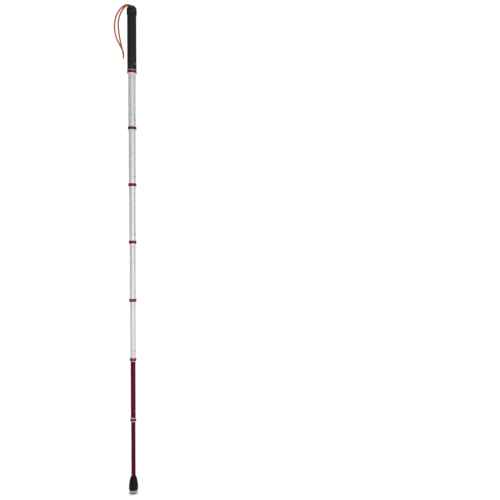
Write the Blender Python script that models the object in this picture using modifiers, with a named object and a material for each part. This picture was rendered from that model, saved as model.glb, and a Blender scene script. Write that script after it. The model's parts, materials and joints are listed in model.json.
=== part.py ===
"""Telescopic white cane: a handle and seven tubes that slide into one another, each held by a snap button.

Metres, +Z up. The tip stands on Z = 0 and the cane's axis is the Z axis. The snap buttons face -Y.
The cane is pulled out, and each snap button is pressed in just far enough to let its section slide.
"""

import math

import bpy
from mathutils import Matrix, Vector

MM = 0.001
SECTIONS = 7
FACETS = 24
BUTTON_FACETS = 16

# Heights
CANE_LENGTH = 1300 * MM
HANDLE_BAND = 1123.4 * MM
REACHES = [150.1 * MM, 151.0 * MM, 152.4 * MM, 155.0 * MM, 157.8 * MM, 160.6 * MM]
BUTTON_ABOVE_BAND = 22 * MM
TUBE_TOP_ABOVE_BUTTON = 3.7 * MM

# Tubes
FIRST_TUBE_RADIUS = 10.65 * MM
RADIUS_STEP = 0.7 * MM
TUBE_WALL = 0.5 * MM
FLARE = 0.12 * MM
FLARE_HEIGHT = 0.8 * MM
PRESS_GAP = 0.1 * MM
FACE_GAP = 0.3 * MM

# Collars and bands
BAND_HEIGHT = 7.8 * MM
COLLAR_HEIGHT = 10.4 * MM
BAND_OVER_TUBE = 1.6 * MM
HANDLE_BAND_OVER_TUBE = 2.25 * MM
BAND_THICKNESS = 0.6 * MM
COLLAR_LIP = 1.1 * MM
SHOULDER_UNDER_BAND = 0.15 * MM
SHOULDER_CHAMFER = 0.8 * MM

# Snap buttons
BUTTON_RADIUS = 2 * MM
BUTTON_HOLE_RADIUS = 2.15 * MM
BUTTON_FLANGE_RADIUS = 2.5 * MM
BUTTON_FLANGE = 0.6 * MM
BUTTON_DOME = 0.8 * MM
BUTTON_TRAVEL_OUT = 1.25 * MM
BUTTON_APEX_OUT = 1.4 * MM
FLANGE_GAP = 0.15 * MM
PLUG_HEIGHT = 7.4 * MM
POCKET_RADIUS = 2.7 * MM
SPRING_ROOM = 5.3 * MM
SPRING_RADIUS = 1.8 * MM
SPRING_WIRE = 0.2 * MM
SPRING_TURNS = 4
SPRING_POINTS_PER_TURN = 8

# Handle
GRIP_RADIUS = 12.1 * MM
GRIP_GAP = 0.15 * MM
GRIP_HOLE_RADIUS = 3.8 * MM
GRIP_EDGE = 0.4 * MM
CAP_RADIUS = 13.35 * MM
CAP_HEIGHT = 22.5 * MM
CAP_DOME_HEIGHT = 10 * MM
CAP_DOME_POWER = 1.6
CAP_DOME_STEPS = 7
CAP_CROWN = 10.7 * MM
CAP_EDGE = 0.6 * MM
CORD_HOLE_RADIUS = 4.9 * MM
CORD_HOLE_ROUND = 2.6 * MM
ANCHOR_RADIUS = 6.1 * MM
ANCHOR_HEIGHT = 2.5 * MM

# Wrist cord
CORD_RADIUS = 2 * MM
CORD_POINTS = 80
CORD_BEARING = math.radians(138)

# Tip
GLIDE_RADIUS = 11.1 * MM
GLIDE_SHOWN = 9.5 * MM
GLIDE_WALL = 1.5 * MM
GLIDE_FLOOR = 3.2 * MM
GLIDE_EDGE = 6 * MM
CUP_IN_BOOT = 2 * MM
BOOT_OUTLINE = [(6.9, 45.6), (7.7, 44.4), (8.8, 40.8), (9.7, 37.5), (10.2, 34.8), (11, 31), (11.7, 27.5)]
BOOT_OUTLINE += [(12.1, 24), (12.25, 20), (12.25, 12), (11.8, 9.5)]
STEM_RADIUS = 2.5 * MM
STEM_TOP = 27 * MM
INSERT_TOP = 30 * MM
TUBE_FOOT = 14 * MM

TOWARDS_BUTTON = Matrix.Rotation(math.radians(90), 4, "X")


def clear_scene():
    for obj in list(bpy.data.objects):
        bpy.data.objects.remove(obj, do_unlink=True)


def new_collection(name):
    collection = bpy.data.collections.new(name)
    bpy.context.scene.collection.children.link(collection)
    return collection


def material(name, colour, roughness, metallic=0.0):
    made = bpy.data.materials.new(name)
    made.use_nodes = True
    shader = made.node_tree.nodes["Principled BSDF"]
    shader.inputs["Base Color"].default_value = (*colour, 1)
    shader.inputs["Roughness"].default_value = roughness
    shader.inputs["Metallic"].default_value = metallic
    return made


def place(obj, collection, look, parent):
    """Puts the object in the collection, under its body's empty, and gives it its material."""
    for holder in list(obj.users_collection):
        holder.objects.unlink(obj)
    collection.objects.link(obj)
    obj.data.materials.clear()
    obj.data.materials.append(look)
    obj.parent = parent
    return obj


def turned(name, outline, steps=FACETS):
    """A turned solid: (radius, height) points down the outer side and back up the inner one."""
    mesh = bpy.data.meshes.new(name)
    on_axis = outline[0][0] == 0
    points = [(radius, 0, height) for radius, height in outline]
    edges = [(i, i + 1) for i in range(len(points) - 1)]
    if not on_axis:
        edges.append((len(points) - 1, 0))
    mesh.from_pydata(points, edges, [])
    obj = bpy.data.objects.new(name, mesh)
    screw = obj.modifiers.new("Turn", "SCREW")
    screw.axis = "Z"
    screw.steps = steps
    screw.render_steps = steps
    screw.use_merge_vertices = True
    screw.merge_threshold = 0.00001
    screw.use_smooth_shade = True
    return obj


def arc(centre, radius, start, end, steps):
    """Points along an arc in the (radius, height) plane, angles in degrees from the +radius direction."""
    angles = [math.radians(start + (end - start) * i / steps) for i in range(steps + 1)]
    return [(centre[0] + radius * math.cos(a), centre[1] + radius * math.sin(a)) for a in angles]


def radial_cutter(name, cutters, radius, inner, outer, height):
    """A drill from the -Y side, from the distance outer to the distance inner from the axis."""
    bpy.ops.mesh.primitive_cylinder_add(vertices=BUTTON_FACETS, radius=radius, depth=outer - inner)
    cutter = bpy.context.object
    cutter.name = name
    cutter.matrix_world = Matrix.Translation((0, -(outer + inner) / 2, height)) @ TOWARDS_BUTTON
    for holder in list(cutter.users_collection):
        holder.objects.unlink(cutter)
    cutters.objects.link(cutter)
    cutter.hide_render = True
    cutter.display_type = "WIRE"
    return cutter


def cut(obj, cutter):
    hole = obj.modifiers.new("Cut " + cutter.name, "BOOLEAN")
    hole.operation = "DIFFERENCE"
    hole.solver = "EXACT"
    hole.object = cutter


def tube_radius(part):
    """The outer radius of a part's tube: part 0 is the handle, 1 to 7 the sections."""
    return FIRST_TUBE_RADIUS - part * RADIUS_STEP


def band_height(part):
    """The height of the middle of a part's band above the tip's foot."""
    return HANDLE_BAND - sum(REACHES[:part])


def button_height(section):
    return band_height(section - 1) + BUTTON_ABOVE_BAND


def flange_out(section):
    """How far from the axis the flange's outer face stops, against the inside of the tube."""
    bore = tube_radius(section) - TUBE_WALL
    return math.sqrt(bore**2 - BUTTON_FLANGE_RADIUS**2) - FLANGE_GAP


def tube_outline(part, top, foot, flared):
    outer = tube_radius(part)
    inner = outer - TUBE_WALL
    if not flared:
        return [(outer, top), (outer, foot), (inner, foot), (inner, top)]
    return [
        (outer + FLARE, top),
        (outer + FLARE, top - FLARE_HEIGHT / 2),
        (outer, top - FLARE_HEIGHT),
        (outer, foot),
        (inner, foot),
        (inner, top - FLARE_HEIGHT),
        (inner + FLARE, top - FLARE_HEIGHT / 2),
        (inner + FLARE, top),
    ]


def make_collar(name, part):
    """A nylon collar round a tube's lower end. Its lip under the tube guides the next tube."""
    tube = tube_radius(part)
    over = HANDLE_BAND_OVER_TUBE if part == 0 else BAND_OVER_TUBE
    seat = tube + over - BAND_THICKNESS - PRESS_GAP
    shoulder = tube + over - SHOULDER_UNDER_BAND
    end = shoulder - SHOULDER_CHAMFER
    half = COLLAR_HEIGHT / 2
    groove = (BAND_HEIGHT + 2 * PRESS_GAP) / 2
    guide = tube_radius(part + 1) + PRESS_GAP
    outline = [
        (end, half),
        (shoulder, groove),
        (seat, groove),
        (seat, -groove),
        (shoulder, -groove),
        (end, -half),
        (guide, -half),
        (guide, -half + COLLAR_LIP),
        (tube + PRESS_GAP, -half + COLLAR_LIP),
        (tube + PRESS_GAP, half),
    ]
    return turned(name, outline)


def make_band(name, part):
    over = HANDLE_BAND_OVER_TUBE if part == 0 else BAND_OVER_TUBE
    outer = tube_radius(part) + over
    half = BAND_HEIGHT / 2
    inner = outer - BAND_THICKNESS
    return turned(name, [(outer, half), (outer, -half), (inner, -half), (inner, half)])


def make_plug(name, section, cutters):
    """The plug's origin is at its button's height, on the cane's axis."""
    outer = tube_radius(section) - TUBE_WALL - PRESS_GAP
    top = TUBE_TOP_ABOVE_BUTTON
    outline = [(0, top), (outer, top), (outer, top - PLUG_HEIGHT), (0, top - PLUG_HEIGHT)]
    plug = turned(name, outline)
    floor = flange_out(section) - BUTTON_TRAVEL_OUT - BUTTON_FLANGE - SPRING_ROOM
    height = button_height(section)
    pocket = radial_cutter(f"pocket_{section}", cutters, POCKET_RADIUS, floor, outer + MM, height)
    cut(plug, pocket)
    return plug


def make_button(name, section):
    """A domed pin with a flange. Local Z points outwards and Z = 0 is the flange's outer face."""
    head = tube_radius(section) + BUTTON_APEX_OUT - flange_out(section)
    dome = arc((0, 0), 1, 90, 0, 4)
    outline = [(x * BUTTON_RADIUS, head - BUTTON_DOME * (1 - z)) for x, z in dome]
    outline[0] = (0, head)
    outline += [
        (BUTTON_RADIUS, 0),
        (BUTTON_FLANGE_RADIUS, 0),
        (BUTTON_FLANGE_RADIUS, -BUTTON_FLANGE),
        (0, -BUTTON_FLANGE),
    ]
    return turned(name, outline, BUTTON_FACETS)


def poly_curve(name, points, radius, resolution):
    curve = bpy.data.curves.new(name, "CURVE")
    curve.dimensions = "3D"
    curve.bevel_depth = radius
    curve.bevel_resolution = resolution
    curve.use_fill_caps = True
    spline = curve.splines.new("POLY")
    spline.points.add(len(points) - 1)
    for i, point in enumerate(points):
        spline.points[i].co = (*point, 1)
    return bpy.data.objects.new(name, curve)


def make_spring(name):
    """A compression spring along local Z, from under the flange to the pocket's floor."""
    length = SPRING_ROOM - 2 * (SPRING_WIRE + FLANGE_GAP)
    count = SPRING_TURNS * SPRING_POINTS_PER_TURN
    points = []
    for i in range(count + 1):
        angle = 2 * math.pi * i / SPRING_POINTS_PER_TURN
        points.append(
            Vector((SPRING_RADIUS * math.cos(angle), SPRING_RADIUS * math.sin(angle), length * i / count))
        )
    return poly_curve(name, points, SPRING_WIRE, 1)


def body_empty(name, collection, parent=None):
    """A body's empty stands on the cane's axis at the ground, and carries the body's pieces."""
    empty = bpy.data.objects.new(name, None)
    collection.objects.link(empty)
    empty.parent = parent
    return empty


def make_detent(section, parts, cutters, looks, body):
    """The plug, snap button and spring in a section's upper end."""
    name = f"section_{section}"
    lift = button_height(section)
    plug = make_plug(name + "_plug", section, cutters)
    place(plug, parts, looks["nylon"], body).location.z = lift
    flange = flange_out(section) - BUTTON_TRAVEL_OUT
    button = place(make_button(name + "_button", section), parts, looks["steel"], body)
    button.location = (0, -flange, lift)
    button.rotation_euler = (math.radians(90), 0, 0)
    floor = flange - BUTTON_FLANGE - SPRING_ROOM
    spring = place(make_spring(name + "_spring"), parts, looks["steel"], body)
    spring.location = (0, -(floor + SPRING_WIRE + FLANGE_GAP), lift)
    spring.rotation_euler = (math.radians(90), 0, 0)


def make_section(section, parts, cutters, looks, above):
    """One sliding section, carried by the body above it."""
    name = f"section_{section}"
    last = section == SECTIONS
    body = body_empty(name, parts, above)
    top = button_height(section) + TUBE_TOP_ABOVE_BUTTON
    foot = TUBE_FOOT if last else band_height(section) - BAND_HEIGHT / 2
    tube = turned(name + "_tube", tube_outline(section, top, foot, True))
    place(tube, parts, looks["white"] if section <= SECTIONS - 2 else looks["wine"], body)
    radius = tube_radius(section)
    across = (BUTTON_HOLE_RADIUS, radius - 2 * MM, radius + 2 * MM)
    cut(tube, radial_cutter(f"button_hole_{section}", cutters, *across, button_height(section)))
    if not last:
        cut(tube, radial_cutter(f"lock_hole_{section}", cutters, *across, button_height(section + 1)))
        lift = band_height(section)
        place(make_collar(name + "_collar", section), parts, looks["nylon"], body).location.z = lift
        place(make_band(name + "_band", section), parts, looks["red"], body).location.z = lift
    make_detent(section, parts, cutters, looks, body)
    return body


def dome(crest, top):
    """The cap's outer curve, from the crest round the cord's hole down to its full radius."""
    outline = []
    for i in range(CAP_DOME_STEPS + 1):
        angle = math.radians(90 * i / CAP_DOME_STEPS)
        across = math.sin(angle) ** (2 / CAP_DOME_POWER)
        up = math.cos(angle) ** (2 / CAP_DOME_POWER) if i < CAP_DOME_STEPS else 0
        outline.append((crest + (CAP_RADIUS - crest) * across, top - CAP_DOME_HEIGHT * (1 - up)))
    return outline


def make_cap(name):
    """The domed end cap, a cup over the handle tube, with the cord's hole and the anchor's seat."""
    top = CANE_LENGTH
    foot = top - CAP_HEIGHT
    ceiling = top - CAP_CROWN
    seat = ceiling + ANCHOR_HEIGHT + 2 * FACE_GAP
    crest = CORD_HOLE_RADIUS + CORD_HOLE_ROUND
    outline = dome(crest, top)
    outline += [
        (CAP_RADIUS, foot + CAP_EDGE),
        (CAP_RADIUS - CAP_EDGE, foot),
        (tube_radius(0) + GRIP_GAP, foot),
        (tube_radius(0) + GRIP_GAP, ceiling),
        (ANCHOR_RADIUS + 2 * PRESS_GAP, ceiling),
        (ANCHOR_RADIUS + 2 * PRESS_GAP, seat),
        (CORD_HOLE_RADIUS, seat),
    ]
    mouth = arc((crest, top - CORD_HOLE_ROUND), CORD_HOLE_ROUND, 180, 90, 4)
    return turned(name, outline + mouth[:-1])


def cord_frame(outwards, sideways, height):
    """A point given by its distance out along the cord's bearing, its distance aside and its height."""
    out = Vector((-math.sin(CORD_BEARING), -math.cos(CORD_BEARING), 0))
    aside = Vector((-out.y, out.x, 0))
    return out * outwards + aside * sideways + Vector((0, 0, height))


def cord_route():
    """The loop's route as (outwards, sideways, height) in millimetres: out of the cap and back into it."""
    anchor_top = (CANE_LENGTH - CAP_CROWN + FACE_GAP + ANCHOR_HEIGHT + FACE_GAP) / MM
    return [
        (0.2, 2.15, anchor_top),
        (0.2, 2.15, 1294.5),
        (1.3, 2.2, 1298.5),
        (4.2, 2.3, 1301.5),
        (8.2, 2.5, 1302.5),
        (12.6, 2.6, 1301.9),
        (17.2, 2.8, 1300.0),
        (24.0, 3.0, 1294.9),
        (31.8, 3.3, 1286.0),
        (38.6, 4.0, 1273.0),
        (43.0, 5.0, 1257.5),
        (44.7, 6.0, 1241.0),
        (43.2, 7.0, 1224.0),
        (38.6, 7.8, 1206.6),
        (31.4, 8.2, 1192.0),
        (26.2, 8.3, 1182.0),
        (23.0, 8.3, 1174.6),
        (21.9, 8.2, 1169.1),
        (21.7, 7.1, 1165.0),
        (21.6, 4.1, 1162.0),
        (21.6, 0.0, 1160.9),
        (21.6, -4.1, 1162.0),
        (21.7, -7.1, 1165.0),
        (21.9, -8.2, 1169.1),
        (23.0, -8.3, 1176.0),
        (25.1, -8.2, 1186.4),
        (28.2, -7.7, 1200.0),
        (31.8, -6.9, 1217.0),
        (34.4, -6.0, 1235.0),
        (35.3, -5.0, 1251.0),
        (33.6, -4.1, 1266.0),
        (28.8, -3.5, 1280.6),
        (23.2, -3.1, 1291.2),
        (17.9, -2.8, 1298.0),
        (13.0, -2.6, 1301.6),
        (8.2, -2.5, 1302.5),
        (4.2, -2.3, 1301.5),
        (1.3, -2.2, 1298.5),
        (0.2, -2.15, 1294.5),
        (0.2, -2.15, anchor_top),
    ]


def smooth_route(route, count):
    """Points spaced evenly along a Catmull-Rom curve through the route."""
    knots = [cord_frame(*(value * MM for value in point)) for point in route]
    padded = [2 * knots[0] - knots[1], *knots, 2 * knots[-1] - knots[-2]]
    dense = []
    for a, b, c, d in zip(padded, padded[1:], padded[2:], padded[3:]):
        for i in range(20):
            t = i / 20
            bend = (2 * a - 5 * b + 4 * c - d) * t**2 + (3 * b - a - 3 * c + d) * t**3
            dense.append((2 * b + (c - a) * t + bend) / 2)
    dense.append(knots[-1])
    run = [0.0]
    for a, b in zip(dense, dense[1:]):
        run.append(run[-1] + (b - a).length)
    points, k = [], 0
    for i in range(count):
        wanted = run[-1] * i / (count - 1)
        while k < len(run) - 2 and run[k + 1] < wanted:
            k += 1
        share = (wanted - run[k]) / (run[k + 1] - run[k])
        points.append(dense[k].lerp(dense[k + 1], share))
    return points


def make_handle(parts, cutters, looks, root):
    foot = HANDLE_BAND - BAND_HEIGHT / 2
    cap_foot = CANE_LENGTH - CAP_HEIGHT
    ceiling = CANE_LENGTH - CAP_CROWN
    drill = (0, GRIP_RADIUS + MM, button_height(1))
    tube = turned("handle_tube", tube_outline(0, ceiling - FACE_GAP, foot, False))
    cut(tube, radial_cutter("lock_hole_0", cutters, BUTTON_HOLE_RADIUS, *drill))
    place(tube, parts, looks["aluminium"], root)

    inner = tube_radius(0) + GRIP_GAP
    grip_top = cap_foot - FACE_GAP
    grip_foot = HANDLE_BAND + COLLAR_HEIGHT / 2 + FACE_GAP
    outline = [
        (GRIP_RADIUS - GRIP_EDGE, grip_top),
        (GRIP_RADIUS, grip_top - GRIP_EDGE),
        (GRIP_RADIUS, grip_foot + GRIP_EDGE),
        (GRIP_RADIUS - GRIP_EDGE, grip_foot),
        (inner, grip_foot),
        (inner, grip_top),
    ]
    grip = turned("grip_sleeve", outline)
    cut(grip, radial_cutter("finger_hole", cutters, GRIP_HOLE_RADIUS, *drill))
    place(grip, parts, looks["rubber"], root)

    place(make_cap("grip_cap"), parts, looks["rubber"], root)
    low = ceiling + FACE_GAP
    high = low + ANCHOR_HEIGHT
    anchor = turned("cord_anchor", [(0, high), (ANCHOR_RADIUS, high), (ANCHOR_RADIUS, low), (0, low)])
    place(anchor, parts, looks["nylon"], root)
    cord = poly_curve("wrist_cord", smooth_route(cord_route(), CORD_POINTS), CORD_RADIUS, 2)
    place(cord, parts, looks["orange"], root)

    place(make_collar("handle_collar", 0), parts, looks["nylon"], root).location.z = HANDLE_BAND
    place(make_band("handle_band", 0), parts, looks["red"], root).location.z = HANDLE_BAND


def boot_outline():
    """The boot grips the tube above and the cup's wall below, and fills the cup."""
    slot = GLIDE_RADIUS + PRESS_GAP
    slot_top = GLIDE_SHOWN + CUP_IN_BOOT + FACE_GAP
    core = GLIDE_RADIUS - GLIDE_WALL - PRESS_GAP
    core_foot = GLIDE_FLOOR + FACE_GAP
    stem_bore = STEM_RADIUS + PRESS_GAP
    web_top = TUBE_FOOT - FACE_GAP
    socket = tube_radius(SECTIONS) + PRESS_GAP
    outline = [(radius * MM, height * MM) for radius, height in BOOT_OUTLINE]
    outline += [(slot, GLIDE_SHOWN), (slot, slot_top), (core, slot_top), (core, core_foot)]
    outline += [(stem_bore, core_foot), (stem_bore, web_top), (socket, web_top)]
    outline.append((socket, BOOT_OUTLINE[0][1] * MM))
    return outline


def glide_outline():
    """A steel cup with a rounded foot, and a stem up its middle."""
    cup = GLIDE_RADIUS - GLIDE_WALL
    cup_top = GLIDE_SHOWN + CUP_IN_BOOT
    outline = [(0, STEM_TOP), (STEM_RADIUS, STEM_TOP), (STEM_RADIUS, GLIDE_FLOOR), (cup, GLIDE_FLOOR)]
    outline += [(cup, cup_top), (GLIDE_RADIUS, cup_top)]
    outline += arc((GLIDE_RADIUS - GLIDE_EDGE, GLIDE_EDGE), GLIDE_EDGE, 0, -90, 5)
    outline.append((0, 0))
    return outline


def make_tip(parts, looks, body):
    """The tip on the last section: a rubber boot, a steel glide and the bush that holds its stem."""
    place(turned("tip_boot", boot_outline()), parts, looks["rubber"], body)
    place(turned("tip_glide", glide_outline()), parts, looks["steel"], body)
    outer = tube_radius(SECTIONS) - TUBE_WALL - PRESS_GAP
    bore = STEM_RADIUS + PRESS_GAP
    outline = [(outer, INSERT_TOP), (outer, TUBE_FOOT), (bore, TUBE_FOOT), (bore, INSERT_TOP)]
    place(turned("tip_insert", outline), parts, looks["nylon"], body)


def make_looks():
    return {
        "white": material("white_enamel", (0.80, 0.80, 0.77), 0.35),
        "wine": material("wine_red_film", (0.16, 0.012, 0.035), 0.3),
        "red": material("red_band", (0.45, 0.012, 0.022), 0.35),
        "nylon": material("white_nylon", (0.83, 0.82, 0.78), 0.5),
        "rubber": material("black_rubber", (0.02, 0.02, 0.02), 0.6),
        "aluminium": material("aluminium", (0.75, 0.76, 0.78), 0.3, 1.0),
        "steel": material("steel", (0.62, 0.61, 0.59), 0.25, 1.0),
        "orange": material("orange_cord", (0.72, 0.22, 0.035), 0.8),
    }


def main():
    clear_scene()
    parts = new_collection("white_cane")
    cutters = new_collection("cutters")
    looks = make_looks()
    body = body_empty("handle", parts)
    make_handle(parts, cutters, looks, body)
    for section in range(1, SECTIONS + 1):
        body = make_section(section, parts, cutters, looks, body)
    make_tip(parts, looks, body)


main()
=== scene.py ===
"""The looks of the telescopic white cane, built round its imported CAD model. Metres, +Z up."""

import json
import math

import bmesh
import bpy
from mathutils import Matrix, Vector


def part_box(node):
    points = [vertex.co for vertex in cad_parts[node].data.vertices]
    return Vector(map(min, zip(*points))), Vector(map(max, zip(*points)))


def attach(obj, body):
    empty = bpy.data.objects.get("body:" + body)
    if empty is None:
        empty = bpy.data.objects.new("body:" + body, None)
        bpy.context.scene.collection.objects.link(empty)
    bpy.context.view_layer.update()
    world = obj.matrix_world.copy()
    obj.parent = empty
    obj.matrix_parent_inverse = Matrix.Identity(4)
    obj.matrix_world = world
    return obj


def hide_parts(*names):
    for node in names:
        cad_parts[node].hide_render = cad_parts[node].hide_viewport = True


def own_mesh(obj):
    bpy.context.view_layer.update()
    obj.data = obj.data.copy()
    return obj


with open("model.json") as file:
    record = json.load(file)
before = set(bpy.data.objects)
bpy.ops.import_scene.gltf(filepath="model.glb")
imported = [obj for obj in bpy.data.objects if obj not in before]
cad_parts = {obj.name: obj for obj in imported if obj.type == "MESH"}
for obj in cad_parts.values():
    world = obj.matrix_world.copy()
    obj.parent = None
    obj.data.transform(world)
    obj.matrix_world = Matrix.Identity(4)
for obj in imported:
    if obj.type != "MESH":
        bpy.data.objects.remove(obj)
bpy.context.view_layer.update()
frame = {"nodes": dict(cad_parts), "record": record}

MM = 0.001
SECTIONS = 7
ROUND = 96
SMALL_ROUND = 48

# Sizes, as in the CAD model
FIRST_TUBE_RADIUS = 10.65 * MM
RADIUS_STEP = 0.7 * MM
TUBE_WALL = 0.5 * MM
FLARE = 0.12 * MM
FLARE_HEIGHT = 0.8 * MM
PRESS_GAP = 0.1 * MM
BAND_OVER_TUBE = 1.6 * MM
HANDLE_BAND_OVER_TUBE = 2.25 * MM
BAND_THICKNESS = 0.6 * MM
COLLAR_LIP = 1.1 * MM
SHOULDER_UNDER_BAND = 0.15 * MM
SHOULDER_CHAMFER = 0.8 * MM
BUTTON_RADIUS = 2 * MM
BUTTON_HOLE_RADIUS = 2.15 * MM
BUTTON_FLANGE_RADIUS = 2.5 * MM
BUTTON_FLANGE = 0.6 * MM
BUTTON_DOME = 0.8 * MM
GRIP_HOLE_RADIUS = 3.8 * MM
GRIP_GAP = 0.15 * MM
CAP_DOME_HEIGHT = 10 * MM
CAP_DOME_POWER = 1.6
CAP_CROWN = 10.7 * MM
ANCHOR_GAP = 0.3 * MM
CORD_HOLE_RADIUS = 4.9 * MM
CORD_HOLE_ROUND = 2.6 * MM
CORD_DIAMETER = 4 * MM
CORD_RINGS = 720
CORD_BEARING = math.radians(138)
BOOT_LOW = 9.5 * MM
BOOT_SLOT_TOP = 11.8 * MM
BOOT_WEB = 13.7 * MM
GLIDE_EDGE = 6 * MM
GLIDE_WALL = 1.5 * MM
GLIDE_FLOOR = 3.2 * MM
GLIDE_TOP = 11.5 * MM
STEM_RADIUS = 2.5 * MM
STEM_GAP = 0.1 * MM

# The rings of mesh above and below a drilled hole, and how far the drill reaches either side of a wall
HOLE_MARGIN = 4 * MM
GRIP_HOLE_MARGIN = 6 * MM
DRILL_REACH = 3 * MM

# The camera
LENS = 40.7
SENSOR = 36
CAMERA_AWAY = 1.51
CAMERA_HEIGHT = 0.60
LOOK_HEIGHT = 0.6479
TOWARDS_CAMERA = Vector((-0.743, -0.669, 0)).normalized()
PICTURE_RIGHT = Vector((0.669, -0.743, 0)).normalized()
CANE_LEFT_OF_CENTRE = 117.3 / 500
LEAN = math.radians(0.23)
CAMERA_YAW = math.atan(CANE_LEFT_OF_CENTRE * SENSOR / LENS)
CAMERA_FORWARD = PICTURE_RIGHT * math.sin(CAMERA_YAW) - TOWARDS_CAMERA * math.cos(CAMERA_YAW)

# The lights: metres from the cane towards the camera, to the picture's right and up; size; watts
LIGHT_AIM = 0.65
KEY_PLACE = (1.9, 0.75, 1.1)
KEY_SIZE = (0.8, 2.2)
KEY_POWER = 8
WINDOW_PLACE = (1.75, 0.35, 0.73)
WINDOW_SIZE = (0.95, 1.4)
WINDOW_POWER = 11
OVERHEAD_STRENGTH = 2.45
OVERHEAD_WIDTH = math.radians(40)

# The world's strength by the cosine of the angle to the camera's direction
WORLD_RAMP = {"From Min": 0.3, "From Max": 0.82, "To Min": 0.26, "To Max": 1.08}
FLOOR_RADIUS = 60


# ---------------------------------------------------------------- camera


def make_camera():
    data = bpy.data.cameras.new("camera")
    data.lens = LENS
    data.sensor_width = SENSOR
    camera = bpy.data.objects.new("camera", data)
    bpy.context.scene.collection.objects.link(camera)
    camera.location = TOWARDS_CAMERA * (CAMERA_AWAY / math.cos(CAMERA_YAW)) + Vector((0, 0, CAMERA_HEIGHT))
    camera.rotation_mode = "QUATERNION"
    level = CAMERA_FORWARD.to_track_quat("-Z", "Y")
    camera.rotation_quaternion = level @ Matrix.Rotation(-LEAN, 3, "Z").to_quaternion()
    wide = CAMERA_AWAY * SENSOR / LENS
    data.shift_y = (LOOK_HEIGHT - CAMERA_HEIGHT) / wide
    bpy.context.scene.camera = camera


# ---------------------------------------------------------------- mesh building


def link(obj):
    bpy.context.scene.collection.objects.link(obj)
    return obj


def soften(outline, size, steps=3, closed=True):
    """The outline with each corner rounded off, by size or by as much as its sides allow."""
    count = len(outline)
    made = []
    for i, corner in enumerate(outline):
        if not closed and i in (0, count - 1):
            made.append(corner)
            continue
        here = Vector(corner)
        before = Vector(outline[i - 1]) - here
        after = Vector(outline[(i + 1) % count]) - here
        reach = min(size, before.length * 0.45, after.length * 0.45)
        bend = before.normalized().dot(after.normalized())
        if reach < 1e-6 or bend < -0.999:
            made.append(corner)
            continue
        start = here + before.normalized() * reach
        end = here + after.normalized() * reach
        for k in range(steps + 1):
            t = k / steps
            point = start * (1 - t) ** 2 + here * 2 * t * (1 - t) + end * t**2
            made.append((point.x, point.y))
    return made


def revolve(name, outline, around=ROUND, closed=True):
    """A turned mesh. The outline's (radius, height) points run down its outer side and back up inside."""
    mesh = bpy.data.meshes.new(name)
    made = bmesh.new()
    rings = []
    for radius, height in outline:
        if radius < 1e-7:
            rings.append([made.verts.new((0, 0, height))] * around)
            continue
        turn = [2 * math.pi * i / around for i in range(around)]
        rings.append([made.verts.new((radius * math.cos(a), radius * math.sin(a), height)) for a in turn])
    pairs = list(zip(rings, rings[1:]))
    if closed:
        pairs.append((rings[-1], rings[0]))
    for upper, lower in pairs:
        for i in range(around):
            j = (i + 1) % around
            corners = [upper[i], lower[i], lower[j], upper[j]]
            face = list(dict.fromkeys(corners))
            if len(face) > 2:
                made.faces.new(face)
    bmesh.ops.recalc_face_normals(made, faces=made.faces)
    made.to_mesh(mesh)
    made.free()
    return link(bpy.data.objects.new(name, mesh))


def drill(obj, radius, height, outer):
    """Cuts a round hole through the wall of a round piece, in the -Y side of its outer radius."""
    deep, far = outer - DRILL_REACH, outer + DRILL_REACH
    outline = [(0, far), (radius, far), (radius, deep), (0, deep)]
    tool = revolve("drill", outline, SMALL_ROUND, closed=False)
    tool.matrix_world = Matrix.Translation((0, 0, height)) @ Matrix.Rotation(math.radians(90), 4, "X")
    hole = obj.modifiers.new("hole", "BOOLEAN")
    hole.operation = "DIFFERENCE"
    hole.solver = "EXACT"
    hole.object = tool
    bake_modifiers(obj)
    bpy.data.objects.remove(tool)


def bake_modifiers(obj):
    bpy.context.view_layer.update()
    graph = bpy.context.evaluated_depsgraph_get()
    mesh = bpy.data.meshes.new_from_object(obj.evaluated_get(graph))
    obj.modifiers.clear()
    obj.data = mesh


def smooth(obj, angle=30):
    for face in obj.data.polygons:
        face.use_smooth = True
    obj.data.set_sharp_from_angle(angle=math.radians(angle))


def piece(obj, node, look):
    """Finishes a piece: it stands for the node, has its look, and rides on its body."""
    smooth(obj)
    obj.data.materials.clear()
    obj.data.materials.append(LOOKS[look])
    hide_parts(node)
    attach(obj, BODY[node])


def tube_radius(part):
    return FIRST_TUBE_RADIUS - part * RADIUS_STEP


def span(node):
    """The lowest and highest Z of a CAD node."""
    low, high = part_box(node)
    return low.z, high.z


def middle(node):
    return sum(span(node)) / 2


def tall(node):
    low, high = span(node)
    return high - low


# ---------------------------------------------------------------- wrist cord


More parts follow.
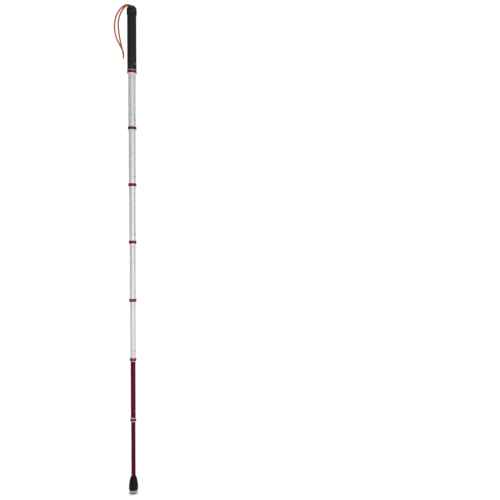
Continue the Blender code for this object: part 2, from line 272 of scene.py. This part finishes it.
def cord_route():
    """The CAD model's route as (outwards, sideways, height) in millimetres."""
    return [
        (0.2, 2.15, 1292.4),
        (0.2, 2.15, 1294.5),
        (1.3, 2.2, 1298.5),
        (4.2, 2.3, 1301.5),
        (8.2, 2.5, 1302.5),
        (12.6, 2.6, 1301.9),
        (17.2, 2.8, 1300.0),
        (24.0, 3.0, 1294.9),
        (31.8, 3.3, 1286.0),
        (38.6, 4.0, 1273.0),
        (43.0, 5.0, 1257.5),
        (44.7, 6.0, 1241.0),
        (43.2, 7.0, 1224.0),
        (38.6, 7.8, 1206.6),
        (31.4, 8.2, 1192.0),
        (26.2, 8.3, 1182.0),
        (23.0, 8.3, 1174.6),
        (21.9, 8.2, 1169.1),
        (21.7, 7.1, 1165.0),
        (21.6, 4.1, 1162.0),
        (21.6, 0.0, 1160.9),
        (21.6, -4.1, 1162.0),
        (21.7, -7.1, 1165.0),
        (21.9, -8.2, 1169.1),
        (23.0, -8.3, 1176.0),
        (25.1, -8.2, 1186.4),
        (28.2, -7.7, 1200.0),
        (31.8, -6.9, 1217.0),
        (34.4, -6.0, 1235.0),
        (35.3, -5.0, 1251.0),
        (33.6, -4.1, 1266.0),
        (28.8, -3.5, 1280.6),
        (23.2, -3.1, 1291.2),
        (17.9, -2.8, 1298.0),
        (13.0, -2.6, 1301.6),
        (8.2, -2.5, 1302.5),
        (4.2, -2.3, 1301.5),
        (1.3, -2.2, 1298.5),
        (0.2, -2.15, 1294.5),
        (0.2, -2.15, 1292.4),
    ]


def cord_frame(outwards, sideways, height):
    out = Vector((-math.sin(CORD_BEARING), -math.cos(CORD_BEARING), 0))
    aside = Vector((-out.y, out.x, 0))
    return out * outwards + aside * sideways + Vector((0, 0, height))


def smooth_route(route, count):
    """Points spaced evenly along a Catmull-Rom curve through the route."""
    knots = [cord_frame(*(value * MM for value in point)) for point in route]
    padded = [2 * knots[0] - knots[1], *knots, 2 * knots[-1] - knots[-2]]
    dense = []
    for a, b, c, d in zip(padded, padded[1:], padded[2:], padded[3:]):
        for i in range(40):
            t = i / 40
            bend = (2 * a - 5 * b + 4 * c - d) * t**2 + (3 * b - a - 3 * c + d) * t**3
            dense.append((2 * b + (c - a) * t + bend) / 2)
    dense.append(knots[-1])
    run = [0.0]
    for a, b in zip(dense, dense[1:]):
        run.append(run[-1] + (b - a).length)
    points, k = [], 0
    for i in range(count):
        wanted = run[-1] * i / (count - 1)
        while k < len(run) - 2 and run[k + 1] < wanted:
            k += 1
        share = (wanted - run[k]) / (run[k + 1] - run[k])
        points.append(dense[k].lerp(dense[k + 1], share))
    return points, run[-1]


def braid_height(angle, along, strands, pitch):
    """0 to 1: how far a braided cord's surface stands up at this angle and distance along it."""
    right = angle / (2 * math.pi) * strands + along / pitch * strands
    left = angle / (2 * math.pi) * strands - along / pitch * strands
    over = right if (math.floor(right) + math.floor(left)) % 2 else left
    return math.sin(math.pi * (over - math.floor(over)))


def braided_cord(name, points, length, diameter):
    """A tube along the points, with the crossing strands of a braid standing out of it."""
    around, strands, pitch = 32, 6, 11 * MM
    base, ridge = diameter * 0.465, diameter * 0.055
    made = bmesh.new()
    forward = (points[1] - points[0]).normalized()
    side = forward.cross(Vector((0.3, 0.2, 1))).normalized()
    rings = []
    for i, point in enumerate(points):
        ahead = points[min(i + 1, len(points) - 1)] - points[max(i - 1, 0)]
        ahead.normalize()
        side = (side - ahead * side.dot(ahead)).normalized()
        other = ahead.cross(side)
        along = length * i / (len(points) - 1)
        ring = []
        for k in range(around):
            angle = 2 * math.pi * k / around
            radius = base + ridge * braid_height(angle, along, strands, pitch)
            ring.append(made.verts.new(point + (side * math.cos(angle) + other * math.sin(angle)) * radius))
        rings.append(ring)
    for a, b in zip(rings, rings[1:]):
        for k in range(around):
            j = (k + 1) % around
            made.faces.new([a[k], a[j], b[j], b[k]])
    made.faces.new(rings[0][::-1])
    made.faces.new(rings[-1])
    bmesh.ops.recalc_face_normals(made, faces=made.faces)
    mesh = bpy.data.meshes.new(name)
    made.to_mesh(mesh)
    made.free()
    return link(bpy.data.objects.new(name, mesh))


def make_cord():
    points, length = smooth_route(cord_route(), CORD_RINGS)
    cord = braided_cord("wrist_cord_braid", points, length, CORD_DIAMETER)
    piece(cord, "wrist_cord", "orange_cord")


# ---------------------------------------------------------------- materials


class Look:
    """A material's node tree, with short ways to add to it."""

    def __init__(self, name, colour, roughness, **sockets):
        self.material = bpy.data.materials.new(name)
        self.material.use_nodes = True
        self.tree = self.material.node_tree
        self.shader = self.tree.nodes["Principled BSDF"]
        self.shader.inputs["Base Color"].default_value = (*colour, 1)
        self.shader.inputs["Roughness"].default_value = roughness
        for socket, value in sockets.items():
            self.shader.inputs[socket.replace("_", " ")].default_value = value
        self.place = self.tree.nodes.new("ShaderNodeTexCoord").outputs["Object"]
        self.bumps = None

    def put(self, value, socket):
        if isinstance(value, bpy.types.NodeSocket):
            self.tree.links.new(value, socket)
        else:
            socket.default_value = value

    def stretched(self, scale):
        mapping = self.tree.nodes.new("ShaderNodeMapping")
        mapping.inputs["Scale"].default_value = scale
        self.put(self.place, mapping.inputs["Vector"])
        return mapping.outputs["Vector"]

    def noise(self, size, detail=3, rough=0.5, scale=(1, 1, 1)):
        """Noise whose features are about size metres across."""
        node = self.tree.nodes.new("ShaderNodeTexNoise")
        node.inputs["Scale"].default_value = 1 / size
        node.inputs["Detail"].default_value = detail
        node.inputs["Roughness"].default_value = rough
        self.put(self.stretched(scale), node.inputs["Vector"])
        return node.outputs["Fac"]

    def cells(self, size, feature="F1", output="Distance"):
        """Cells about size metres across."""
        node = self.tree.nodes.new("ShaderNodeTexVoronoi")
        node.feature = feature
        node.inputs["Scale"].default_value = 1 / size
        self.put(self.place, node.inputs["Vector"])
        return node.outputs[output]

    def remap(self, value, low, high, to_low=0.0, to_high=1.0):
        node = self.tree.nodes.new("ShaderNodeMapRange")
        for socket, given in zip(node.inputs, (value, low, high, to_low, to_high)):
            self.put(given, socket)
        return node.outputs["Result"]

    def math(self, kind, a, b=0.0):
        node = self.tree.nodes.new("ShaderNodeMath")
        node.operation = kind
        self.put(a, node.inputs[0])
        self.put(b, node.inputs[1])
        return node.outputs["Value"]

    def height(self):
        node = self.tree.nodes.new("ShaderNodeSeparateXYZ")
        self.put(self.place, node.inputs["Vector"])
        return node.outputs["Z"]

    def blend(self, share, a, b):
        node = self.tree.nodes.new("ShaderNodeMix")
        node.data_type = "RGBA"
        self.put(share, node.inputs["Factor"])
        colours = [socket for socket in node.inputs if socket.type == "RGBA"]
        for socket, value in zip(colours, (a, b)):
            self.put(value if isinstance(value, bpy.types.NodeSocket) else (*value[:3], 1), socket)
        return next(socket for socket in node.outputs if socket.type == "RGBA")

    def colour(self, value):
        self.put(value, self.shader.inputs["Base Color"])

    def roughness(self, value):
        self.put(value, self.shader.inputs["Roughness"])

    def bump(self, value, depth, strength=1.0):
        """Adds a bump of this depth in metres to those already there."""
        node = self.tree.nodes.new("ShaderNodeBump")
        node.inputs["Distance"].default_value = depth
        node.inputs["Strength"].default_value = strength
        self.put(value, node.inputs["Height"])
        if self.bumps:
            self.put(self.bumps, node.inputs["Normal"])
        self.bumps = node.outputs["Normal"]
        self.put(self.bumps, self.shader.inputs["Normal"])


def shade(colour, factor):
    return tuple(min(1.0, value * factor) for value in colour)


def white_enamel():
    base = (0.55, 0.55, 0.535)
    look = Look("white_enamel", base, 0.32, Metallic=0.3, Specular_IOR_Level=0.25)
    mottle = look.remap(look.noise(0.03, 3), 0.3, 0.7)
    clean = look.blend(mottle, shade(base, 0.96), shade(base, 1.03))
    scratch = look.noise(0.0009, 5, 0.7, scale=(1, 1, 0.03))
    marks = look.remap(scratch, 0.66, 0.74)
    patches = look.remap(look.noise(0.02, 3, scale=(1, 1, 0.5)), 0.5, 0.7)
    worn = look.math("MULTIPLY", look.math("MULTIPLY", marks, patches), 0.35)
    look.colour(look.blend(worn, clean, (0.36, 0.36, 0.35)))
    look.roughness(look.remap(look.noise(0.006, 4), 0.25, 0.75, 0.3, 0.36))
    look.bump(look.noise(0.004, 2), 0.00001, 0.1)
    return look.material


def wine_red_film():
    base = (0.08, 0.002, 0.016)
    look = Look("wine_red_film", base, 0.28, Metallic=0.4, Specular_IOR_Level=0.08)
    bead = look.cells(0.00035, output="Color")
    # Painted glints: the glass beads' sparkle is painted into the film's colour as random lighter and
    # darker cells
    painted_bead_sparkle = look.remap(bead, 0.0, 1.0)
    film = look.blend(painted_bead_sparkle, shade(base, 0.78), shade(base, 1.3))
    mottle = look.remap(look.noise(0.025, 3), 0.35, 0.7)
    look.colour(look.blend(look.math("MULTIPLY", mottle, 0.35), film, shade(base, 0.6)))
    look.roughness(look.remap(look.noise(0.004, 4), 0.25, 0.75, 0.2, 0.32))
    look.bump(look.cells(0.00035), 0.00002, 0.5)
    look.bump(look.noise(0.0009, 5, 0.7, scale=(1, 1, 0.04)), 0.00002, 0.3)
    return look.material


def red_band():
    base = (0.11, 0.003, 0.007)
    look = Look("red_band", base, 0.24, Specular_IOR_Level=0.35)
    look.colour(look.blend(look.remap(look.noise(0.004, 4), 0.3, 0.7), shade(base, 0.85), shade(base, 1.1)))
    look.roughness(look.remap(look.noise(0.0015, 4), 0.3, 0.7, 0.2, 0.3))
    look.bump(look.noise(0.0006, 4, scale=(1, 1, 6)), 0.00003, 0.35)
    return look.material


def white_nylon():
    base = (0.64, 0.59, 0.56)
    look = Look("white_nylon", base, 0.42, Subsurface_Weight=0.12, Subsurface_Scale=0.001)
    grime = look.remap(look.noise(0.003, 5, 0.6), 0.5, 0.8)
    look.colour(look.blend(look.math("MULTIPLY", grime, 0.3), base, shade(base, 0.72)))
    look.roughness(look.remap(look.noise(0.001, 4), 0.3, 0.7, 0.36, 0.52))
    look.bump(look.noise(0.0004, 3), 0.00002, 0.4)
    return look.material


def black_rubber():
    base = (0.009, 0.009, 0.0088)
    look = Look("black_rubber", base, 0.55, Specular_IOR_Level=0.2)
    dust = look.remap(look.noise(0.012, 6, 0.65), 0.5, 0.75)
    look.colour(look.blend(look.math("MULTIPLY", dust, 0.3), base, (0.022, 0.0215, 0.021)))
    look.roughness(look.remap(look.noise(0.008, 5, 0.6), 0.3, 0.7, 0.48, 0.68))
    look.bump(look.noise(0.00035, 3, 0.6), 0.00006, 0.6)
    look.bump(look.cells(0.0007, "SMOOTH_F1"), 0.00004, 0.35)
    return look.material


def boot_rubber():
    base = (0.0025, 0.0025, 0.0025)
    look = Look("boot_rubber", base, 0.2, Specular_IOR_Level=0.11)
    low = look.remap(look.height(), 0.012, 0.026, 1.0, 0.0)
    scuffs = look.remap(look.noise(0.0016, 6, 0.7, scale=(1, 1, 3)), 0.52, 0.68)
    worn = look.math("MULTIPLY", look.math("MULTIPLY", low, scuffs), 0.7)
    look.colour(look.blend(worn, base, (0.05, 0.048, 0.046)))
    look.roughness(look.remap(look.math("ADD", worn, look.noise(0.004, 4)), 0.3, 1.3, 0.2, 0.6))
    look.bump(look.noise(0.0005, 4, 0.6), 0.00005, 0.5)
    look.bump(scuffs, 0.00003, 0.3)
    return look.material


def steel(name, base, drawn, roughness, worn_foot=False):
    """Drawn is the scale that stretches its fine lines along or round the piece."""
    look = Look(name, base, roughness, Metallic=1.0)
    lines = look.noise(0.0004, 4, 0.6, scale=drawn)
    tone = look.remap(lines, 0.3, 0.7)
    metal = look.blend(tone, shade(base, 0.86), shade(base, 1.06))
    if worn_foot:
        low = look.remap(look.height(), 0.0, 0.006, 1.0, 0.15)
        scrape = look.remap(look.noise(0.0012, 6, 0.75), 0.46, 0.62)
        worn = look.math("MULTIPLY", low, scrape)
        metal = look.blend(worn, metal, shade(base, 0.5))
        look.roughness(look.remap(worn, 0.0, 1.0, roughness, 0.6))
        look.bump(scrape, 0.00006, 0.5)
    else:
        look.roughness(look.remap(lines, 0.3, 0.7, roughness * 0.8, roughness * 1.25))
    look.colour(metal)
    look.bump(lines, 0.00002, 0.4)
    return look.material


def orange_cord():
    base = (0.38, 0.095, 0.0125)
    look = Look("orange_cord", base, 0.8, Sheen_Weight=0.3, Sheen_Roughness=0.4, Specular_IOR_Level=0.25)
    fibre = look.noise(0.00025, 4, 0.7, scale=(1, 1, 0.5))
    yarn = look.blend(look.remap(fibre, 0.3, 0.7), shade(base, 0.7), shade(base, 1.15))
    soil = look.remap(look.noise(0.01, 5, 0.6), 0.5, 0.75)
    look.colour(look.blend(look.math("MULTIPLY", soil, 0.3), yarn, shade(base, 0.5)))
    look.roughness(look.remap(fibre, 0.3, 0.7, 0.7, 0.9))
    look.bump(fibre, 0.0001, 0.6)
    return look.material


def make_looks():
    return {
        "white_enamel": white_enamel(),
        "wine_red_film": wine_red_film(),
        "red_band": red_band(),
        "white_nylon": white_nylon(),
        "black_rubber": black_rubber(),
        "boot_rubber": boot_rubber(),
        "aluminium": steel("aluminium", (0.76, 0.77, 0.78), (1, 1, 0.02), 0.32),
        # Steel's own grey, darkened further as painted shade so the buttons sunk in their holes read as
        # dark dots
        "steel": steel("steel", (0.32, 0.315, 0.30), (1, 1, 1), 0.3),
        "glide_steel": steel("glide_steel", (0.36, 0.35, 0.335), (0.15, 0.15, 4), 0.3, worn_foot=True),
        "orange_cord": orange_cord(),
    }


# ---------------------------------------------------------------- the cane's pieces


def make_tube(node, part, look, holes):
    """A section's tube, flared at its top. Holes lists the heights of the holes in its -Y side."""
    foot, top = span(node)
    outer = tube_radius(part)
    inner = outer - TUBE_WALL
    flare = FLARE if part else 0
    marks = sorted({h + side for h in holes for side in (-HOLE_MARGIN, HOLE_MARGIN)}, reverse=True)
    marks = [height for height in marks if foot + MM < height < top - MM]
    outline = [(outer + flare, top), (outer + flare, top - FLARE_HEIGHT / 2), (outer, top - FLARE_HEIGHT)]
    outline += [(outer, height) for height in marks]
    outline += [(outer, foot), (inner, foot)]
    outline += [(inner, height) for height in reversed(marks)]
    outline += [(inner, top - FLARE_HEIGHT), (inner + flare, top - FLARE_HEIGHT / 2), (inner + flare, top)]
    if not part:
        outline = [point for point in outline if not top - MM < point[1] < top]
    tube = revolve(node + "_skin", soften(outline, 0.12 * MM, 2))
    for height in holes:
        drill(tube, BUTTON_HOLE_RADIUS, height, outer)
    piece(tube, node, look)


def make_collar(prefix, part):
    """The nylon collar, chamfered and rounded, with a seat for its band."""
    node = prefix + "_collar"
    height = middle(node)
    half = tall(node) / 2
    tube = tube_radius(part)
    over = BAND_OVER_TUBE if part else HANDLE_BAND_OVER_TUBE
    seat = tube + over - BAND_THICKNESS - PRESS_GAP
    shoulder = tube + over - SHOULDER_UNDER_BAND
    end = shoulder - SHOULDER_CHAMFER
    groove = tall(prefix + "_band") / 2 + PRESS_GAP
    guide = tube_radius(part + 1) + PRESS_GAP
    rim = tube + PRESS_GAP
    ledge = -half + COLLAR_LIP
    outline = [(end, half), (shoulder, groove), (seat, groove), (seat, -groove), (shoulder, -groove)]
    outline += [(end, -half), (guide, -half), (guide, ledge), (rim, ledge), (rim, half)]
    collar = revolve(node + "_turned", soften([(r, z + height) for r, z in outline], 0.25 * MM))
    piece(collar, node, "white_nylon")


def make_band(prefix, part):
    """The red band round a collar, with eased edges."""
    node = prefix + "_band"
    low, high = span(node)
    outer = tube_radius(part) + (BAND_OVER_TUBE if part else HANDLE_BAND_OVER_TUBE)
    inner = outer - BAND_THICKNESS
    outline = [(outer, high), (outer, low), (inner, low), (inner, high)]
    piece(revolve(node + "_ring", soften(outline, 0.2 * MM)), node, "red_band")


def make_button(section):
    """The snap button: a domed pin over a flange."""
    node = f"section_{section}_button"
    low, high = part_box(node)
    head = high.y - low.y
    dome = [math.radians(90 * k / 8) for k in range(9)]
    outline = [(BUTTON_RADIUS * math.sin(a), head - BUTTON_DOME * (1 - math.cos(a))) for a in dome]
    outline[0] = (0, head)
    foot = [outline[-1], (BUTTON_RADIUS, BUTTON_FLANGE), (BUTTON_FLANGE_RADIUS, BUTTON_FLANGE)]
    foot += [(BUTTON_FLANGE_RADIUS, 0), (0, 0)]
    outline += soften(foot, 0.1 * MM, 2, closed=False)[1:]
    button = revolve(node + "_pin", outline, SMALL_ROUND, closed=False)
    turn = Matrix.Rotation(math.radians(90), 4, "X")
    button.data.transform(Matrix.Translation((0, high.y, (low.z + high.z) / 2)) @ turn)
    piece(button, node, "steel")


def make_grip():
    low, high = span("grip_sleeve")
    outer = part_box("grip_sleeve")[1].x
    inner = tube_radius(0) + GRIP_GAP
    button = middle("section_1_button")
    marks = [button + GRIP_HOLE_MARGIN, button - GRIP_HOLE_MARGIN]
    outline = [(outer, high), *[(outer, z) for z in marks], (outer, low), (inner, low)]
    outline += [*[(inner, z) for z in reversed(marks)], (inner, high)]
    grip = revolve("grip_sleeve_rubber", soften(outline, 0.5 * MM, 4))
    drill(grip, GRIP_HOLE_RADIUS, button, outer)
    piece(grip, "grip_sleeve", "black_rubber")


def make_cap():
    """The cap has a domed crown with a rounded mouth for the cord, and a pocket for the cord's anchor."""
    low, high = span("grip_cap")
    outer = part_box("grip_cap")[1].x
    inner = tube_radius(0) + GRIP_GAP
    crown_foot = high - CAP_CROWN
    seat = span("cord_anchor")[1] + ANCHOR_GAP
    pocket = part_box("cord_anchor")[1].x + 2 * PRESS_GAP
    crest = CORD_HOLE_RADIUS + CORD_HOLE_ROUND
    dome = []
    for k in range(21):
        angle = math.radians(90 * k / 20)
        across = abs(math.sin(angle)) ** (2 / CAP_DOME_POWER)
        up = abs(math.cos(angle)) ** (2 / CAP_DOME_POWER)
        dome.append((crest + (outer - crest) * across, high - CAP_DOME_HEIGHT * (1 - up)))
    lower = [(outer, low), (inner, low), (inner, crown_foot), (pocket, crown_foot), (pocket, seat)]
    lower.append((CORD_HOLE_RADIUS, seat))
    turn = [math.radians(180 - 90 * k / 8) for k in range(8)]
    top = high - CORD_HOLE_ROUND
    mouth = [(crest + CORD_HOLE_ROUND * math.cos(a), top + CORD_HOLE_ROUND * math.sin(a)) for a in turn]
    sides = soften([dome[-1], *lower, mouth[0]], 0.6 * MM, 4, closed=False)[1:-1]
    piece(revolve("grip_cap_rubber", dome + sides + mouth), "grip_cap", "black_rubber")


def make_anchor():
    low, high = span("cord_anchor")
    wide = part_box("cord_anchor")[1].x
    outline = soften([(0, high), (wide, high), (wide, low), (0, low)], 0.4 * MM, 3, closed=False)
    piece(revolve("cord_anchor_disc", outline, closed=False), "cord_anchor", "white_nylon")


def make_boot():
    """The boot has a shallow groove above its lower rim."""
    foot, top = span("tip_boot")
    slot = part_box("tip_glide")[1].x + PRESS_GAP
    core = slot - PRESS_GAP - GLIDE_WALL - STEM_GAP
    bore = STEM_RADIUS + STEM_GAP
    socket = tube_radius(SECTIONS) + PRESS_GAP
    outer = [(6.9, 45.6), (7.7, 44.4), (8.8, 40.8), (9.7, 37.5), (10.2, 34.8), (11, 31), (11.7, 27.5)]
    outer += [(12.1, 24), (12.25, 20), (12.25, 15.2), (12, 14.9), (12, 14.1), (12.25, 13.8), (12.25, 12)]
    outline = [(radius * MM, height * MM) for radius, height in outer]
    outline += [(11.8 * MM, BOOT_LOW), (slot, BOOT_LOW), (slot, BOOT_SLOT_TOP), (core, BOOT_SLOT_TOP)]
    outline += [(core, foot), (bore, foot), (bore, BOOT_WEB), (socket, BOOT_WEB), (socket, top)]
    boot = revolve("tip_boot_rubber", soften(outline, 0.7 * MM, 4))
    piece(boot, "tip_boot", "boot_rubber")


def make_glide():
    """A cup with a stem, and a rounded, worn foot."""
    low, high = span("tip_glide")
    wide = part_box("tip_glide")[1].x
    inner = wide - GLIDE_WALL
    outline = [(0, high), (STEM_RADIUS, high), (STEM_RADIUS, GLIDE_FLOOR), (inner, GLIDE_FLOOR)]
    outline += [(inner, GLIDE_TOP), (wide, GLIDE_TOP), (wide, GLIDE_EDGE)]
    outline = soften(outline, 0.3 * MM, 3, closed=False)
    turn = [math.radians(-90 * k / 10) for k in range(1, 11)]
    outline += [(wide - GLIDE_EDGE * (1 - math.cos(a)), low + GLIDE_EDGE * (1 + math.sin(a))) for a in turn]
    outline.append((0, low))
    glide = revolve("tip_glide_cup", outline, closed=False)
    piece(glide, "tip_glide", "glide_steel")


def keep(node, look):
    """A piece inside the cane that keeps its CAD shape."""
    obj = frame["nodes"][node]
    obj.data.materials.clear()
    obj.data.materials.append(LOOKS[look])
    return obj


def make_cane():
    buttons = [None] + [middle(f"section_{n}_button") for n in range(1, SECTIONS + 1)]
    make_tube("handle_tube", 0, "aluminium", [buttons[1]])
    make_grip()
    make_cap()
    make_anchor()
    make_collar("handle", 0)
    make_band("handle", 0)
    for n in range(1, SECTIONS + 1):
        name = f"section_{n}"
        last = n == SECTIONS
        holes = [buttons[n]] if last else [buttons[n], buttons[n + 1]]
        make_tube(name + "_tube", n, "white_enamel" if n <= SECTIONS - 2 else "wine_red_film", holes)
        if not last:
            make_collar(name, n)
            make_band(name, n)
        make_button(n)
        keep(name + "_plug", "white_nylon")
        spring = keep(name + "_spring", "steel")
        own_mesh(spring)
    make_boot()
    make_glide()
    keep("tip_insert", "white_nylon")


# ---------------------------------------------------------------- stage


def area_light(name, place, size, power):
    data = bpy.data.lights.new(name, "AREA")
    data.shape = "RECTANGLE"
    data.size, data.size_y = size
    data.energy = power
    towards, right, up = place
    light = link(bpy.data.objects.new(name, data))
    light.location = TOWARDS_CAMERA * towards + PICTURE_RIGHT * right + Vector((0, 0, up))
    light.rotation_mode = "QUATERNION"
    light.rotation_quaternion = (Vector((0, 0, LIGHT_AIM)) - light.location).to_track_quat("-Z", "Y")


def make_world():
    """A studio that is white behind the cane, and grey overhead, at the sides and behind the camera."""
    world = bpy.data.worlds.new("studio")
    bpy.context.scene.world = world
    world.use_nodes = True
    nodes, links = world.node_tree.nodes, world.node_tree.links
    around = nodes.new("ShaderNodeTexCoord")
    towards = nodes.new("ShaderNodeVectorMath")
    towards.operation = "DOT_PRODUCT"
    towards.inputs[1].default_value = CAMERA_FORWARD
    links.new(around.outputs["Generated"], towards.inputs[0])
    ramp = nodes.new("ShaderNodeMapRange")
    ramp.interpolation_type = "SMOOTHSTEP"
    links.new(towards.outputs["Value"], ramp.inputs["Value"])
    for socket, value in WORLD_RAMP.items():
        ramp.inputs[socket].default_value = value
    background = nodes["Background"]
    background.inputs["Color"].default_value = (1, 1, 1, 1)
    links.new(ramp.outputs["Result"], background.inputs["Strength"])


def make_stage():
    floor = revolve("floor", [(0, 0), (FLOOR_RADIUS, 0)], 64, closed=False)
    paper = Look("floor_paper", (0.88, 0.88, 0.88), 0.85, Specular_IOR_Level=0.1)
    paper.roughness(paper.remap(paper.noise(0.02, 3), 0.3, 0.7, 0.8, 0.9))
    floor.data.materials.append(paper.material)
    area_light("key", KEY_PLACE, KEY_SIZE, KEY_POWER)
    area_light("window", WINDOW_PLACE, WINDOW_SIZE, WINDOW_POWER)
    data = bpy.data.lights.new("overhead", "SUN")
    data.energy = OVERHEAD_STRENGTH
    data.angle = OVERHEAD_WIDTH
    link(bpy.data.objects.new("overhead", data))
    bpy.context.scene.view_settings.view_transform = "Standard"


BODY = {node: body for body, nodes in frame["record"]["behaviour"]["bodies"].items() for node in nodes}
LOOKS = make_looks()
make_camera()
make_cord()
make_cane()
make_world()
make_stage()
